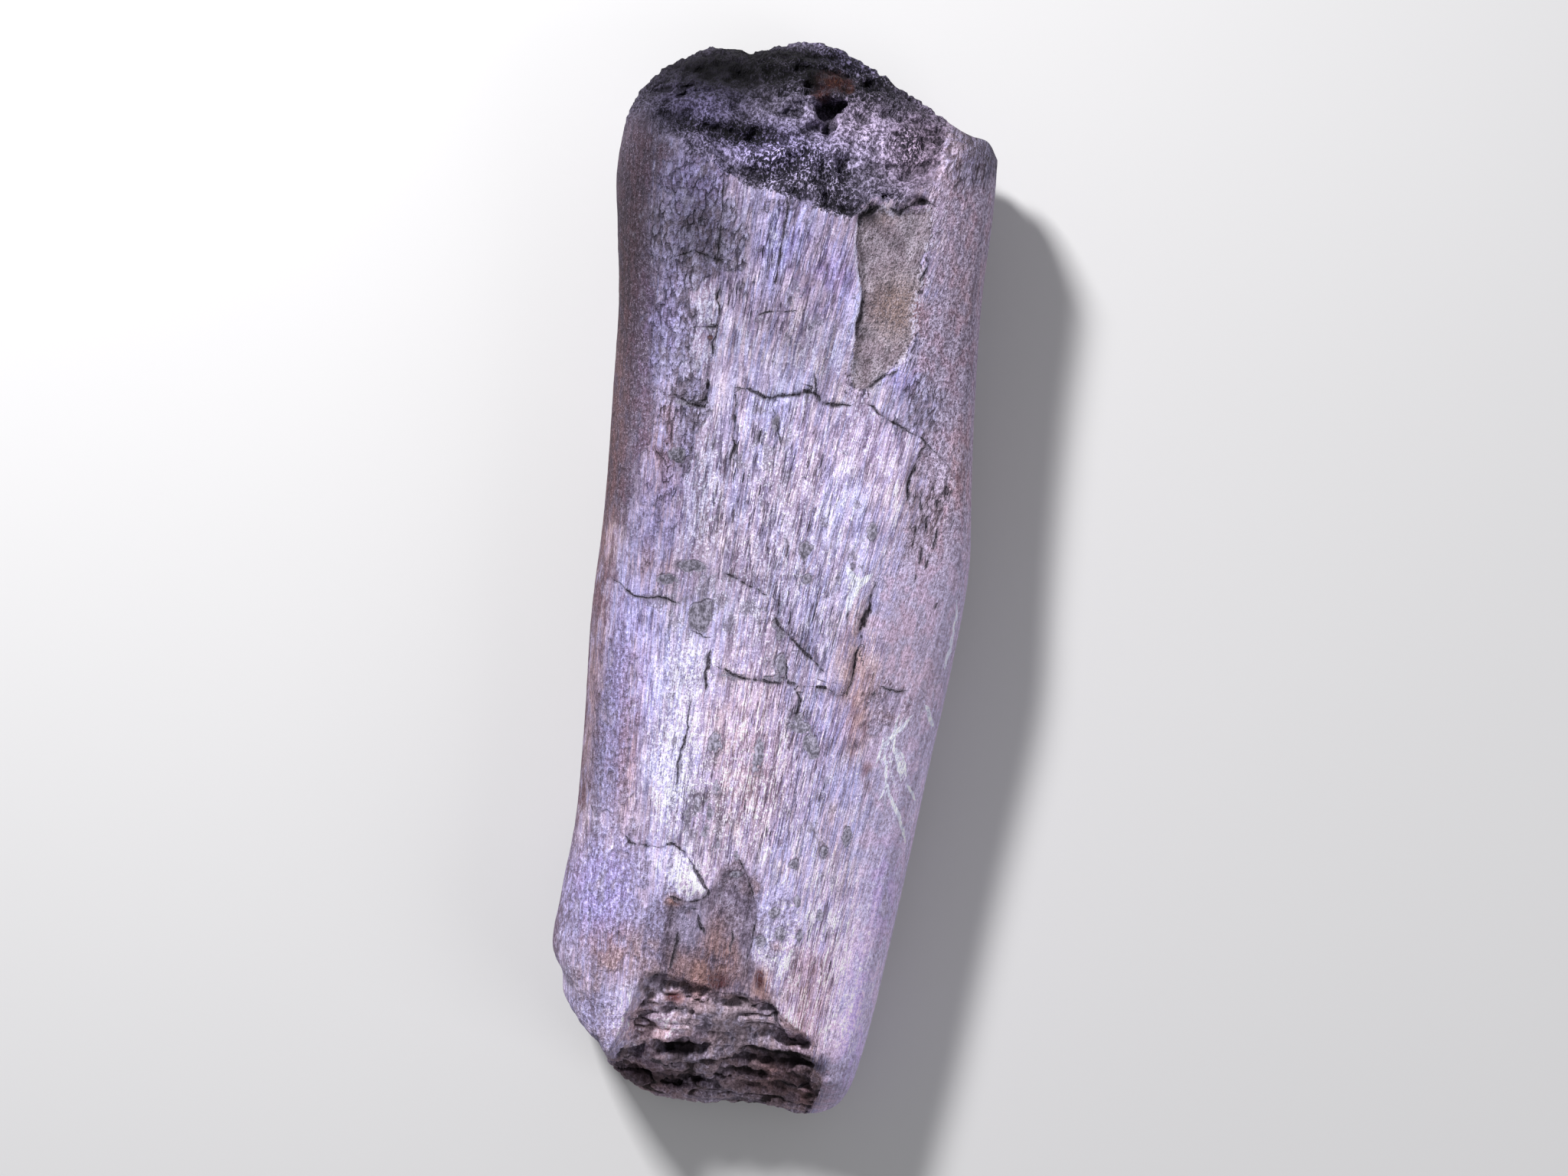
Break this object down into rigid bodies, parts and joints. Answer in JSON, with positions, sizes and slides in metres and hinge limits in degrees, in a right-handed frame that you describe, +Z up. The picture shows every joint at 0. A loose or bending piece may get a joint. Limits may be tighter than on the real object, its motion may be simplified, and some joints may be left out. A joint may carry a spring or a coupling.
{
  "type": "fossil bone",
  "caption": "Fossil sauropod limb bone: a flattened, tapering shaft of weathered fibrous bone, broken off at both ends, where ledges of rough spongy bone and a dark hole show.",
  "frame": {"origin": "on the surface the bone rests on, under the middle of its box", "axes": "+Y along the shaft towards the wider end, +X across it, +Z up out of the face that shows"},
  "size_m": [0.311, 0.8728, 0.1699],
  "materials": {
    "bone": "weathered fossil bone, matt, lavender grey with brown flanks"
  },
  "bodies": {
    "root": {"bone": "bone"}
  },
  "joints": []
}
